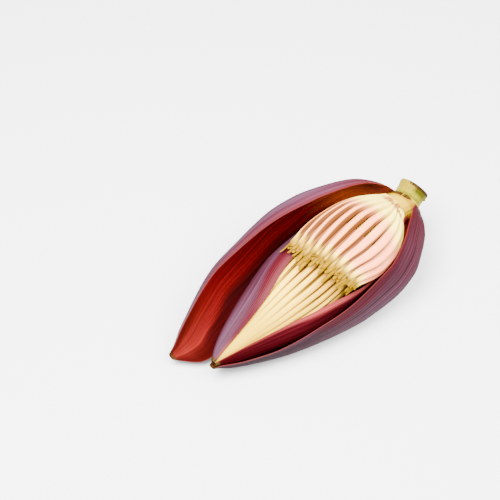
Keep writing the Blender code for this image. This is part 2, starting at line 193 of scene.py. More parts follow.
class Wire:
    """An output socket; arithmetic on it adds Math nodes."""

    def __init__(self, graph, node, out=0):
        self.graph, self.node, self.socket = graph, node, node.outputs[out]

    def out(self, name):
        return Wire(self.graph, self.node, name)

    def maths(self, operation, *terms):
        return self.graph.node("ShaderNodeMath", dict(enumerate(terms)), operation=operation)

    def __add__(self, other): return self.maths("ADD", self, other)
    def __radd__(self, other): return self.maths("ADD", other, self)
    def __sub__(self, other): return self.maths("SUBTRACT", self, other)
    def __rsub__(self, other): return self.maths("SUBTRACT", other, self)
    def __mul__(self, other): return self.maths("MULTIPLY", self, other)
    def __truediv__(self, other): return self.maths("DIVIDE", self, other)
    def __pow__(self, other): return self.maths("POWER", self, other)
    def __lt__(self, other): return self.maths("LESS_THAN", self, other)
    def __abs__(self): return self.maths("ABSOLUTE", self)

    def sin(self): return self.maths("SINE", self)
    def cos(self): return self.maths("COSINE", self)
    def least(self, other): return self.maths("MINIMUM", self, other)
    def most(self, other): return self.maths("MAXIMUM", self, other)

    def step(self, low, high, start=0.0, end=1.0):
        """start below low, end above high, eased between them."""
        return self.graph.node("ShaderNodeMapRange", {0: self, 1: low, 2: high, 3: start, 4: end},
                               interpolation_type="SMOOTHSTEP")


class Graph:
    """A node tree that is being written, and the material it belongs to, if any."""

    def __init__(self, tree, look=None):
        self.tree, self.look = tree, look

    def node(self, kind, values=None, out=0, **settings):
        """One node: its settings first, then the values or links of its sockets."""
        made = self.tree.nodes.new(kind)
        for key, value in settings.items():
            setattr(made, key, value)
        for key, value in (values or {}).items():
            if isinstance(value, Wire):
                self.tree.links.new(value.socket, made.inputs[key])
            else:
                made.inputs[key].default_value = value
        return Wire(self, made, out) if len(made.outputs) else made

    def mix(self, factor, a, b, blend="MIX"):
        """Colours a and b mixed."""
        a, b = (c if isinstance(c, Wire) else (*c, 1.0) for c in (a, b))
        return self.node("ShaderNodeMix", {0: factor, 6: a, 7: b}, 2, data_type="RGBA", blend_type=blend,
                         clamp_result=False)

    def coats(self, tone, *coats):
        """A colour under coats of others: each is (how much it covers, its colour)."""
        for cover, colour in coats:
            tone = self.mix(cover, tone, colour)
        return tone

    def shade(self, colour, amount):
        """A colour made darker or lighter by a number around 1."""
        grey = self.node("ShaderNodeCombineColor", {0: amount, 1: amount, 2: amount})
        return self.mix(1.0, colour, grey, "MULTIPLY")

    def vector(self, x, y, z):
        return self.node("ShaderNodeCombineXYZ", {0: x, 1: y, 2: z})

    def grain(self, vector, scale, detail, rough=0.5):
        return self.node("ShaderNodeTexNoise", {
            "Vector": vector, "Scale": scale, "Detail": detail, "Roughness": rough})

    def noise(self, x, y, z, detail=3.0, rough=0.5):
        """Noise at a place, 0 to 1."""
        return self.grain(self.vector(x, y, z), 1.0, detail, rough)

    def mottle(self, scale, detail):
        """Noise on the piece's own coordinates."""
        return self.grain(self.node("ShaderNodeTexCoord", out="Object"), scale, detail)

    def streaks(self, seed, across, along, detail=3.0, rough=0.5):
        """Noise on a piece's UV map, drawn out lengthwise."""
        u, v = self.uv()
        return self.noise(u * across, v * along, seed, detail, rough)

    def uv(self):
        """The across and along coordinates of a piece."""
        both = self.node("ShaderNodeSeparateXYZ", {0: self.node("ShaderNodeUVMap", uv_map=UV)})
        return both, both.out("Y")

    def painted(self, *names):
        """Numbers kept on a mesh, in a material."""
        return [self.node("ShaderNodeAttribute", out="Fac", attribute_type="GEOMETRY", attribute_name=name)
                for name in names]

    def named(self, *names, kind="FLOAT"):
        """Numbers or vectors kept on a mesh, in a Geometry Nodes tree."""
        return [self.node("GeometryNodeInputNamedAttribute", {"Name": name}, "Attribute", data_type=kind)
                for name in names]

    def store(self, geometry, name, value):
        """Keeps a number on every point."""
        return self.node("GeometryNodeStoreNamedAttribute", {
            "Geometry": geometry, "Name": name, "Value": value}, data_type="FLOAT", domain="POINT")

    def push(self, geometry, distance):
        """Moves every point along its normal."""
        shift = self.node("ShaderNodeVectorMath", {0: self.node("GeometryNodeInputNormal"), "Scale": distance},
                          operation="SCALE")
        return self.node("GeometryNodeSetPosition", {"Geometry": geometry, "Offset": shift})


def new_material(name):
    """The empty graph of a new material."""
    look = bpy.data.materials.new(name)
    look.use_nodes = True
    look.node_tree.nodes.clear()
    return Graph(look.node_tree, look)


def principled(g, colour, rough, specular=0.5, bump=None, bump_mm=0.1):
    """Ends a material in a Principled shader and gives it back."""
    values = {"Base Color": colour, "Roughness": rough, "Specular IOR Level": specular}
    if bump:
        values["Normal"] = g.node("ShaderNodeBump", {"Strength": 1.0, "Distance": bump_mm * MM, "Height": bump})
    g.node("ShaderNodeOutputMaterial", {"Surface": g.node("ShaderNodeBsdfPrincipled", values)})
    return g.look


# ---------------------------------------------------------------- Geometry Nodes helpers
def new_tree(name, **inputs):
    """The graph of a Geometry Nodes tree, then the wires of its geometry and of its named inputs. Each input is
    given by its default; None stands for a material."""
    tree = bpy.data.node_groups.new(name, "GeometryNodeTree")
    for way in ("INPUT", "OUTPUT"):
        tree.interface.new_socket("Geometry", in_out=way, socket_type="NodeSocketGeometry")
    labels = [key.replace("_", " ") for key in inputs]
    for label, default in zip(labels, inputs.values()):
        kind = {float: "Float", int: "Int"}.get(type(default), "Material")
        made = tree.interface.new_socket(label, in_out="INPUT", socket_type="NodeSocket" + kind)
        if default is not None:
            made.default_value = default
    g = Graph(tree)
    entry = g.node("NodeGroupInput")
    return g, *(entry.out(label) for label in ["Geometry", *labels])


def close_tree(g, geometry, *looks):
    """Ends a tree in Realize Instances and Set Material; looks are (material, which faces)."""
    geometry = g.node("GeometryNodeRealizeInstances", {"Geometry": geometry})
    geometry = g.node("GeometryNodeSetShadeSmooth", {"Geometry": geometry})
    for look, where in looks:
        geometry = g.node("GeometryNodeSetMaterial", {
            "Geometry": geometry, "Material": look, "Selection": where})
    g.node("NodeGroupOutput", {"Geometry": geometry})
    return g.tree


def grow(piece, tree, **values):
    """Runs a tree on a piece and keeps the result as its plain mesh."""
    modifier = piece.modifiers.new(tree.name, "NODES")
    modifier.node_group = tree
    where = {s.name: s.identifier for s in tree.interface.items_tree if s.in_out == "INPUT"}
    for key, value in values.items():
        modifier[where[key.replace("_", " ")]] = value
    piece.update_tag()
    bpy.context.view_layer.update()
    depsgraph = bpy.context.evaluated_depsgraph_get()
    mesh = bpy.data.meshes.new_from_object(
        piece.evaluated_get(depsgraph), preserve_all_data_layers=True, depsgraph=depsgraph)
    if not len(mesh.polygons):
        raise RuntimeError(f"{tree.name} made no faces for {piece.name}")
    piece.modifiers.clear()
    old, piece.data = piece.data, mesh
    bpy.data.meshes.remove(old)
    mesh.name = piece.name


# ---------------------------------------------------------------- mesh helpers
def mesh_piece(name, points, faces, edges=(), uv=None, **numbers):
    """An object at the origin from points in metres, with its UV map and numbers or vectors on its points."""
    mesh = bpy.data.meshes.new(name)
    mesh.from_pydata(np.reshape(points, (-1, 3)).tolist(), list(edges), faces)
    if uv is not None:
        corner = np.zeros(len(mesh.loops), int)
        mesh.loops.foreach_get("vertex_index", corner)
        mesh.uv_layers.new(name=UV).data.foreach_set("uv", np.reshape(uv, (-1, 2))[corner].ravel())
    for key, value in numbers.items():
        value = np.asarray(value, float).ravel()
        kind, field = ("FLOAT", "value") if value.size == len(mesh.vertices) else ("FLOAT_VECTOR", "vector")
        mesh.attributes.new(key, kind, "POINT").data.foreach_set(field, value)
    made = bpy.data.objects.new(name, mesh)
    bpy.context.scene.collection.objects.link(made)
    return made


def outward(piece):
    """Turns the faces of a closed piece outward and shades it smooth."""
    work = bmesh.new()
    work.from_mesh(piece.data)
    bmesh.ops.recalc_face_normals(work, faces=work.faces)
    work.to_mesh(piece.data)
    work.free()
    piece.data.shade_smooth()
    return piece


def strip(a, b, closed=True):
    """Faces between two rows of points; a closed one also joins their ends."""
    return [(b[k], b[k - 1], a[k - 1], a[k]) for k in range(0 if closed else 1, len(a))]


def grid_faces(rows, columns, start=0, closed=False):
    """Faces of a grid of points; a closed one joins its last column to its first."""
    ids = (start + np.arange(rows * columns).reshape(rows, columns)).tolist()
    return [face for a, b in zip(ids, ids[1:]) for face in strip(a, b, closed)]


def grid_border(rows, columns):
    """The border of a grid of points, in order around it."""
    ids = np.arange(rows * columns).reshape(rows, columns)
    return np.concatenate([ids[:, 0], ids[-1, 1:], ids[-2::-1, -1], ids[0, -2:0:-1]])


def hand_over(piece, slot, *nodes):
    """Rides a finished piece on the body and hides the imported parts that it stands for; slot is not used."""
    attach(piece, "root")
    if nodes:
        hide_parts(*nodes)


# ---------------------------------------------------------------- settings
def amount(name, text, default, low, high, **kind):
    return bpy.props.FloatProperty(name=name, description=text, default=default, min=low, max=high, **kind)


def length(name, text, millimetres, low, high):
    return amount(name, text, millimetres * MM, low * MM, high * MM, unit="LENGTH")


def tint(name, text, *default):
    return bpy.props.FloatVectorProperty(name=name, description=text, subtype="COLOR", default=default, min=0.0,
                                         max=1.0)


def whole(name, text, default, low, high):
    return bpy.props.IntProperty(name=name, description=text, default=default, min=low, max=high)


class BLOSSOM_PG_bracts(bpy.types.PropertyGroup):
    """Sizes and colours of the bracts."""
    wall: length("Wall", "Thickness along the middle of a bract", 1.4, 0.5, 4.0)
    edge: length("Edge", "Thickness at the free edges", 0.55, 0.2, 2.0)
    rib_height: length("Rib Height", "Height of the lengthwise ribs", 0.24, 0.0, 1.0)
    flute_height: length("Flute Height", "Height of the broad lengthwise folds", 0.55, 0.0, 3.0)
    mauve: tint("Mauve", "Outside of the bracts", 0.03, 0.006, 0.0108)
    bloom: tint("Bloom", "Waxy lilac bloom on the outside", 0.072, 0.0285, 0.051)
    blush: tint("Blush", "Redder patches of the outside", 0.056, 0.0012, 0.0044)
    # deep red darkened with painted shade, for the inner bract that lies under the outer one
    shaded_wine: tint("Wine", "Darkest outside, on the sheltered bract", 0.012, 0.0001, 0.0004)
    lining: tint("Lining", "Red inside of the bracts", 0.136, 0.0036, 0.0042)


class BLOSSOM_PG_heart(bpy.types.PropertyGroup):
    """Sizes and colours of the heart."""
    pleats: whole("Pleats", "Pleats across the open face", 8, 2, 20)
    depth: amount("Depth", "Share of the full depth of the pleats", 1.0, 0.0, 2.0, subtype="FACTOR")
    cream: tint("Cream", "Raised parts of the heart", 0.92, 0.6, 0.03)
    # the darkest pleat lines: painted shade in the pleats under the lobes
    groove: tint("Groove", "Bottoms of the pleats", 0.08, 0.03, 0.0015)


class BLOSSOM_PG_florets(bpy.types.PropertyGroup):
    """Number and colours of the florets and their lobes."""
    florets: whole("Florets", "Florets in the front row", 10, 3, 20)
    lobes: whole("Lobes", "Ribs of the tongue at the end of a floret", 2, 2, 8)
    lobe_length: length("Lobe Length", "Length of a yellow lobe", 20.0, 1.0, 30.0)
    cream: tint("Cream", "Florets at their bases and edges", 1.0, 0.78, 0.12)
    pink: tint("Pink", "Flush along the middle of the florets", 1.0, 0.27, 0.13)
    yellow: tint("Yellow", "Lobes at the ends of the florets", 0.178, 0.09, 0.0)


class BLOSSOM_PG_stem(bpy.types.PropertyGroup):
    """Sizes and colours of the stem."""
    fibre_height: length("Fibre Height", "Height of the fine ridges of the stem", 0.12, 0.0, 1.0)
    green: tint("Green", "Stub of the stem", 0.11, 0.096, 0.0002)
    cream: tint("Cream", "Neck that carries the florets", 0.45, 0.285, 0.001)
    scar: tint("Scar", "Dried scars and the cut rim", 0.016, 0.0056, 0.0012)


class BLOSSOM_PG_stage(bpy.types.PropertyGroup):
    """Light, floor and camera."""
    key: amount("Key", "Strength of the key light", 75.0, 0.0, 500.0, unit="POWER")
    sky: amount("Sky", "Strength of the light from all around", 1.75, 0.0, 5.0)
    floor: tint("Floor", "Colour of the floor", 0.735, 0.735, 0.735)
    azimuth: amount("Azimuth", "Turn of the camera", math.radians(-43.0), -math.pi, math.pi, subtype="ANGLE")
    elevation: amount("Elevation", "Height angle of the camera", math.radians(55.0), 0.0, math.pi / 2,
                      subtype="ANGLE")
    distance: length("Distance", "Camera to the middle of the part", 926.7, 200.0, 5000.0)


# ---------------------------------------------------------------- bracts
def bract_points(stations, axis, rows, columns):
    """Outer face of a bract as a grid of points, from the base to the tip and from free to tucked edge."""
    place = spaced(stations[-1][0], stations[0][0], rows, 0.45)
    value = ease(stations, place)
    across = np.linspace(0, 1, columns)
    angle = value[:, :1] + (value[:, 1:2] - value[:, :1]) * across
    knots = np.linspace(0, 1, value.shape[1] - 2)
    radius = np.array([ease(list(zip(knots, row)), across)[:, 0] for row in value[:, 2:]])
    points = around(place[:, None], ease(axis, place)[:, None, :], angle, radius)
    points[..., 2] = np.maximum(points[..., 2], 0.0)
    return points


def bract_shell(name, stations, axis, ribs, wall, edge, rows=76):
    """Closed shell of a bract: outer skin, inner skin and a rounded rim between them."""
    columns = ribs * 4 + 1
    outer = bract_points(stations, axis, rows, columns)
    middle = outer[:, columns // 2]
    normal = unit(np.cross(np.gradient(outer, axis=1), np.gradient(outer, axis=0)))
    outside = middle[:, 1:] - ease(axis, middle[:, 0])
    if np.mean(np.sum(normal[:, columns // 2, 1:] * outside, axis=-1)) < 0:
        normal = -normal
    arc = np.pad(np.cumsum(np.linalg.norm(np.diff(outer, axis=1), axis=-1), axis=1), ((0, 0), (1, 0)))
    along = np.pad(np.cumsum(np.linalg.norm(np.diff(middle, axis=0), axis=-1)), (1, 0))[:, None]
    rim = np.minimum(arc, arc[:, -1:] - arc)
    end = np.minimum(along, along[-1] - along)
    thick = edge + (wall - edge) * smooth(0, 9, rim) * (0.6 + 0.4 * smooth(0, 10, end))
    inner = outer - normal * thick[..., None]

    border = grid_border(rows, columns)
    i, j = np.divmod(border, columns)
    out = unit(outer[i, j] - outer[np.clip(i, 1, rows - 2), np.clip(j, 1, columns - 2)])
    ridge = 0.5 * (outer[i, j] + inner[i, j]) + 0.45 * thick[i, j][:, None] * out
    size = rows * columns
    ids = 2 * size + np.arange(len(border))
    faces = (grid_faces(rows, columns) + grid_faces(rows, columns, size)
             + strip(ids.tolist(), border.tolist()) + strip((size + border).tolist(), ids.tolist()))

    def spread(value):
        """A number of the grid on both skins and the rim."""
        flat = np.broadcast_to(value, (rows, columns)).ravel()
        return np.concatenate([flat, flat, flat[border]])

    across, along = spread(np.linspace(0, 1, columns)), spread(along / along[-1])
    near = np.minimum(rim, end + 0.4).ravel()
    return outward(mesh_piece(
        name, to_part(np.concatenate([outer.reshape(-1, 3), inner.reshape(-1, 3), ridge])), faces,
        uv=np.stack([across, along], axis=-1), across=across, along=along,
        rim=np.concatenate([near, near, 0 * ids]), girth=spread(arc[:, -1:] / arc[:, -1].max()),
        skin=np.repeat([1.0, 0.0, 0.5], [size, size, len(border)])))


def rib_tree():
    """Raises ribs and broad folds along a bract, along the lines that join its base to its tip."""
    g, geometry, ribs, rib_height, flutes, flute_height, seed, outside, lining = new_tree(
        "lengthwise_ribs", Ribs=50.0, Rib_Height=0.00016, Flutes=5.0, Flute_Height=0.0005, Seed=1.0,
        Outside=None, Inside=None)
    across, along, girth, rim, skin = g.named("across", "along", "girth", "rim", "skin")
    inside = skin < 0.3
    drift = g.noise(across * 3.0, along * 2.0, seed, 2.0)
    free = rim.step(0.2, 3.5)
    wave = (across * ribs * math.tau + drift * 3.0).cos()
    fine = wave * rib_height * girth * free * (1.0 - inside * 0.35)
    fold = (across * flutes * math.tau + drift * 7.0 + along * 2.0).cos()
    broad = g.noise(across * 5.0, along * 2.2, seed + 3.0, 1.0) - 0.5
    fold = (fold * 0.5 + broad * 1.6) * flute_height * girth * girth * rim.step(0.5, 12.0)
    moved = g.push(g.store(geometry, "rib", wave * free), fine + fold * (1.0 - inside * 2.0))
    return close_tree(g, moved, (outside, True), (lining, inside))


def outside_look(name, seed, base, bloom, blush, bloom_share, blush_share, blush_reach, depth, painted_tip_light, flush,
                 patches, frost, gloss, painted_tuck_shade):
    """Mauve skin with a lilac bloom, redder patches, lengthwise lines (partly painted shading of the ribs), a
    thin red rim and a dry tip. blush_reach is how far the red reaches in from the free edge, and patches how
    much lies elsewhere. depth is painted lighting that makes the whole skin lighter or darker, and
    painted_tip_light does the same toward the tip; flush reddens its base, frost is a paler bloom at the tip,
    gloss is the sheen, and painted_tuck_shade is painted shade on the skin away from the free edge."""
    g = new_material(name)
    u, v = g.uv()
    rim, rib = g.painted("rim", "rib")
    broad = g.streaks(seed, 4.0, 1.6, 2.0)
    long = g.streaks(seed + 5.0, 26.0, 1.0)
    fine = g.streaks(seed, 84.0, 1.7, 4.0, 0.62)
    near = (u + (broad - 0.5) * 0.25 + (v - 0.62).most(0.0) * 0.35).step(blush_reach, blush_reach * 0.2)
    patch = g.streaks(seed + 9.0, 7.0, 2.0, 2.0).step(0.5, 0.72)
    tone = g.coats(
        base,
        ((long.step(0.36, 0.66) * 0.6 + broad.step(0.35, 0.7) * 0.5) * bloom_share, bloom),
        (v.step(0.55, 0.92) * (0.5 + long * 0.5) * frost, (0.08, 0.037, 0.062)),
        (((near + patch * patches) * blush_share + v.step(0.45, 0.05) * flush).least(0.95), blush))
    # the lines are lighter on the rib crests and darker between them: partly the striation of the skin, partly
    # painted shading of the ribs
    line = fine.step(0.3, 0.7, 0.5, 1.5) + rib * 0.2
    # painted lighting: the whole skin of each bract made lighter or darker, with its own factor toward the tip
    tone = g.shade(tone, line * v.step(0.45, 0.85, depth, depth * painted_tip_light))
    edge = u.step(0.1, 0.02) * (v.step(0.8, 0.68) * 0.4 + v.step(0.86, 0.97) * 0.9)
    bark = g.mix(long.step(0.48, 0.6), (0.02, 0.0075, 0.002), (0.115, 0.062, 0.022))
    tone = g.coats(
        tone,
        # painted shade on the skin away from the free edge, where the neighbouring bract covers it
        ((u + (long - 0.5) * 0.06).step(0.13, 0.42) * painted_tuck_shade, (0.027, 0.004, 0.008)),
        (edge * frost, (0.15, 0.04, 0.046)),
        (rim.step(1.0, 0.2) * 0.55, (0.09, 0.008, 0.009)),
        (rim.step(0.3, 0.0) * 0.4, (0.12, 0.018, 0.015)),
        ((v + (fine - 0.5) * 0.01).step(0.98, 0.99), bark))
    return principled(g, tone, fine.step(0.2, 0.8, 0.4, 0.6), gloss, fine, 0.35)


def inside_look(name, seed, red, painted_light, shelter):
    """Satin red lining: orange-brown toward the base and brighter toward the tip, with painted shade there on
    the half nearer the free edge, and a painted shadow of dark maroon in the sheltered part, which starts at
    shelter across the bract. painted_light makes the whole lining lighter or darker, as painted lighting."""
    g = new_material(name)
    u, v = g.uv()
    rim, rib = g.painted("rim", "rib")
    long = g.streaks(seed, 30.0, 1.2)
    broad = g.streaks(seed + 2.0, 4.0, 2.0, 2.0)
    fine = g.streaks(seed + 3.0, 92.0, 1.4, 4.0, 0.62)
    tone = g.coats(
        [c * 0.72 for c in red],
        (long.step(0.35, 0.72), [c * 1.3 for c in red]),
        (v.step(0.7, 0.98) * 0.7, (0.11, 0.01, 0.0064)),
        ((v + (long - 0.5) * 0.2).step(0.31, 0.11), (0.42, 0.065, 0.011)),
        ((v + (long - 0.5) * 0.1).step(0.12, 0.04), (0.23, 0.033, 0.013)))
    # painted shade toward the tip on the half nearer the free edge
    tone = g.shade(tone, 1.0 - v.step(0.72, 0.92) * u.step(0.55, 0.32) * 0.38)
    # painted shadow: dark maroon in the sheltered part, where the neighbouring bract shades the lining
    inner = u - v.step(0.45, 0.3) * 0.06 - v.step(0.66, 0.9) * 0.1
    painted_shadow = (inner + (broad - 0.5) * 0.06 + (long - 0.5) * 0.05).step(shelter - 0.05, shelter + 0.06)
    painted_shadow = painted_shadow * v.step(0.15, 0.36) * v.step(0.8, 1.0, 1.0, 0.75)
    tone = g.mix(painted_shadow * 0.92, tone, (0.013, 0.0005, 0.0007))
    # painted lighting: the whole lining made lighter or darker for each bract; the lines are lighter on the rib
    # crests, partly painted shading of the ribs
    tone = g.shade(tone, (fine.step(0.3, 0.7, 0.52, 1.52) + rib * 0.14) * painted_light)
    bark = g.mix(long.step(0.5, 0.62), (0.016, 0.005, 0.001), (0.1, 0.04, 0.012))
    tone = g.coats(
        tone,
        (rim.step(0.5, 0.0) * 0.5, (0.16, 0.03, 0.022)),
        ((v + (fine - 0.5) * 0.01).step(0.984, 0.993), bark))
    return principled(g, tone, fine.step(0.2, 0.8, 0.34, 0.5), 0.01, fine, 0.25)


class BLOSSOM_OT_bracts(bpy.types.Operator):
    """Builds the four bracts"""
    bl_idname = "blossom.bracts"
    bl_label = "Bracts"

    def execute(self, context):
        cfg = context.scene.blossom_bracts
        mauve = (cfg.mauve, cfg.bloom, cfg.blush)
        # the sheltered inner bract: a dark red base that carries painted shade from the outer bract over it, a
        # dark bloom, and a salmon red near its free edge that is partly a painted highlight
        dark = (cfg.shaded_wine, (0.036, 0.003, 0.0052), (0.15, 0.022, 0.021))
        # Shape and number of ribs and flutes; colours of the outside and the ten numbers that outside_look
        # explains, from bloom_share to painted_tuck_shade, of which depth, the tip factor and the tucked shade
        # are painted lighting; the painted lighting of the lining, and where its sheltered part, with its
        # painted shadow, starts.
        rows = {
            "bract_inner_left": (INNER_LEFT, BUD_AXIS, 46, 3, mauve, (
                1.0, 0.97, 0.26, 0.76, 1.28, 0.0, 0.35, 0.9, 0.05, 0.9), 1.0, 0.5),
            "bract_inner_right": (INNER_RIGHT, BUD_AXIS, 34, 3, dark, (
                0.6, 0.97, 0.13, 1.9, 0.7, 0.0, 0.0, 0.0, 0.0, 0.0), 1.6, -1.0),
            "bract_outer": (OUTER, BUD_AXIS, 50, 6, mauve, (
                0.85, 0.5, 0.05, 0.66, 0.52, 0.72, 0.45, 0.0, 0.05, 0.0), 1.8, -1.0),
            "bract_open": (OPEN, OPEN_AXIS, 48, 5, mauve, (
                1.0, 0.6, 0.1, 1.05, 1.0, 0.75, 0.45, 0.2, 0.05, 0.0), 0.95, 0.635),
        }
        tree = rib_tree()
        for seed, (name, row) in enumerate(rows.items()):
            stations, axis, ribs, flutes, skin, shares, painted_light, shelter = row
            piece = bract_shell(name + "_look", stations, axis, ribs, cfg.wall / MM, cfg.edge / MM)
            outside = outside_look(name + "_skin", 10.0 * seed + 3.0, *skin, *shares)
            lining = inside_look(name + "_lining", 10.0 * seed + 6.0, cfg.lining, painted_light, shelter)
            grow(piece, tree, Ribs=float(ribs), Rib_Height=cfg.rib_height, Flutes=float(flutes),
                 Flute_Height=cfg.flute_height, Seed=float(seed), Outside=outside, Inside=lining)
            hand_over(piece, "bract", name)
        return {"FINISHED"}


# ---------------------------------------------------------------- heart
def pleat_tree():
    """Presses pleats into the open face of the heart."""
    g, geometry, pleats, share, seed, look = new_tree(
        "heart_pleats", Pleats=8.0, Depth=1.0, Seed=2.0, Look=None)
    turn, place, full = g.named("turn", "along", "pleat_depth")
    drift = (g.noise(turn * 2.0, place * 3.0, seed, 2.0) - 0.5) * 0.5
    phase = (turn * pleats + drift) * math.pi
    face = turn.step(-0.02, 0.03) * turn.step(1.06, 1.0)
    main = abs(phase.cos()) ** 26.0
    double = g.noise(turn * 5.0, 3.0, seed + 7.0, 0.0).step(0.45, 0.6)
    minor = abs((phase + 0.62).cos()) ** 60.0 * double
    crown = abs(phase.cos()) ** 2.0
    depth = (main * 0.75 + crown * 0.42 + minor * 0.35) * full * share * face
    kept = g.store(geometry, "groove", (main + minor * 0.6) * (full / 1.6).least(1.0) * face)
    return close_tree(g, g.push(kept, depth * -MM), (look, True))


def heart_look(cream, dark):
    """Cream with a pink flush in the pleats and yellower toward the tip; painted shade makes it darker on one
    side and browner under the lobes, with dark pleat lines there, and a painted red reflection of the inner
    bract lies near the tip on that side.
    """
    g = new_material("heart_cream")
    u, v = g.uv()
    groove, = g.painted("groove")
    fine = g.streaks(41.0, 60.0, 2.4, 4.0, 0.62)
    tone = g.coats(
        cream,
        (g.streaks(44.0, 10.0, 1.5, 2.0).step(0.4, 0.62) * v.step(0.66, 0.5) * 0.85, (0.78, 0.37, 0.06)),
        (v.step(0.62, 0.84), (0.62, 0.395, 0.0008)),
        (v.step(0.9, 1.0) * 0.6, (0.46, 0.23, 0.016)),
        # painted shade on one side of the heart
        (u.step(0.45, 0.75) * u.step(0.97, 0.84) * 0.7, (0.5, 0.27, 0.008)),
        # painted reflection of red light from the inner bract, near the tip on that side
        (u.step(0.5, 0.8) * v.step(0.74, 0.9) * 0.6, (0.4, 0.12, 0.022)),
        # painted shadow of the florets and their lobes on the heart
        (v.step(0.53, 0.45) * 0.55, (0.34, 0.15, 0.01)))
    # the part of the heart under the florets and their lobes, where painted shade goes
    near = v.step(0.66, 0.5)
    # pleat lines: gold toward the tip, and toward the lobes the groove colour, which is painted shade
    line = g.mix(v.step(0.52, 0.66), dark, (0.34, 0.17, 0.003))
    tone = g.coats(
        g.shade(tone, fine.step(0.3, 0.7, 0.88, 1.08)),
        # painted shade in streaks under the lobes
        (near * g.streaks(43.0, 26.0, 1.0, 4.0, 0.62).step(0.42, 0.68) * 0.6, (0.42, 0.175, 0.018)),
        ((groove * (1.0 + near * 1.8)).step(0.1, 0.55) * 0.95, line))
    rough = g.streaks(41.0, 84.0, 1.7, 4.0, 0.62).step(0.2, 0.8, 0.4, 0.52)
    return principled(g, tone, rough, 0.06, fine, 0.15)


class BLOSSOM_OT_heart(bpy.types.Operator):
    """Builds the pleated heart"""
    bl_idname = "blossom.heart"
    bl_label = "Heart"

    def execute(self, context):
        cfg = context.scene.blossom_heart
        place = spaced(HEART[-1][0], HEART[0][0], 130, 0.3)[:, None]
        face = np.linspace(PLEAT_FROM - 6, PLEAT_TO + 6, cfg.pleats * 24 + 1)
        back = np.linspace(PLEAT_TO + 6, PLEAT_FROM + 354, 40)[1:-1]
        angle = np.concatenate([face, back])
        flat = place[:, 0]
        points = around(place, ease(BUD_AXIS, flat)[:, None, :], angle, ease(HEART, flat))
        rows, columns = points.shape[:2]
        faces = grid_faces(rows, columns, 0, True)
        faces += [tuple(range(columns)), tuple(range((rows - 1) * columns, rows * columns))]
        turn, along, depth = (np.broadcast_to(value, (rows, columns)) for value in (
            (angle - PLEAT_FROM) / (PLEAT_TO - PLEAT_FROM), (place[0] - place) / (place[0] - place[-1]),
            ease(PLEAT_DEPTH, flat)))
        piece = outward(mesh_piece("heart_look", to_part(points), faces, uv=np.stack([turn, along], axis=-1),
                                   turn=turn, along=along, pleat_depth=depth))
        grow(piece, pleat_tree(), Pleats=float(cfg.pleats), Depth=cfg.depth,
             Look=heart_look(cfg.cream, cfg.groove))
        hand_over(piece, "heart", "heart")
        return {"FINISHED"}


# ---------------------------------------------------------------- florets
def floret_line(share, count, tip_shift=0.0, sink=0.0, slim=1.0, first=0.0):
    """Middle line of one floret: its points, headings, upward directions, half widths and shares of its length.
    share is its place across the hand, and first is where along it the line starts."""
    angles = FRONT_ROW[-1][1:3]
    tip = ease(TIP_LINE, angles[0] + share * (angles[1] - angles[0]))[0, 0] + tip_shift
    own = spaced(first, 1.0, count, 0.5)
    base, end = FRONT_ROW[0][0], FRONT_ROW[-1][0]
    low, high, near, far, half = ease(FRONT_ROW, base + (end - base) * own).T
    place = base + (tip - base) * own
    warp = 1 + FAN_WARP * smooth(0.0, 0.3, own) * (1 - smooth(0.35, 1.0, own)) * (share < 1)
    angle = low + share ** warp * (high - low)
    slim = slim * np.clip(warp * max(share, 0.02) ** (warp - 1), 0.62, 1.26)
    reach = near + share * (far - near) - sink * own
    if first:
        reach -= 3.2 * (1 - smooth(first, 1.0, own))
    middle = around(place, ease(BUD_AXIS, place), angle, reach)
    along = unit(np.gradient(middle, axis=0))
    turn = np.radians(angle)
    out = np.stack([0 * turn, -np.sin(turn), np.cos(turn)], axis=-1)
    lift = unit(out - along * np.sum(out * along, axis=1, keepdims=True))
    return middle, along, lift, slim * half, own


def floret_plan(count):
    """(share across the hand, points, shape options) of every floret: the front row, one more at its side, then
    the second row, which shows between them."""
    plan = [(i / (count - 1), 48, dict(tip_shift=MOUTH_SHIFT)) for i in range(count)]
    plan.append((SIDE_SHARE, 48, dict(tip_shift=MOUTH_SHIFT - 1.0, sink=1.2, slim=0.86)))
    for i in range(count - 1):
        share = (i + 0.5) / (count - 1)
        plan.append((share, 24, dict(tip_shift=SECOND_REACH + MOUTH_SHIFT, slim=SECOND_SLIM, first=SECOND_START,
                                     sink=SECOND_SINK * float(smooth(0.22, 0.42, share)))))
    return plan


def floret_tree():
    """Sweeps a keeled section along the middle lines of the florets."""
    g, line, sides, keel, look = new_tree("floret_tubes", Sides=22, Keel=0.08, Look=None)
    lift, = g.named("lift", kind="FLOAT_VECTOR")
    line = g.node("GeometryNodeMeshToCurve", {"Mesh": line})
    line = g.node("GeometryNodeSetCurveNormal", {"Curve": line, "Normal": lift}, mode="FREE")
    ring = g.node("GeometryNodeCurvePrimitiveCircle", {"Resolution": sides, "Radius": 1.0}, mode="RADIUS")
    spot = g.node("ShaderNodeSeparateXYZ", {0: g.node("GeometryNodeInputPosition")})
    ring = g.store(g.store(ring, "upper", spot.out("Y")), "flank", spot)
    ring = g.node("GeometryNodeTransform", {"Geometry": ring, "Scale": (1.0, 0.9, 1.0)})
    upper, flank, half = g.named("upper", "flank", "half_width")
    tube = g.node("GeometryNodeCurveToMesh", {
        "Curve": line, "Profile Curve": ring, "Scale": half, "Fill Caps": True})
    beside = abs(flank) - 0.55
    dent = beside.step(-0.16, 0.0) * beside.step(0.16, 0.0) * upper.step(0.1, 0.4) * 0.9
    return close_tree(g, g.push(tube, (upper.step(0.8, 1.0) * 1.1 - dent) * keel * half), (look, True))


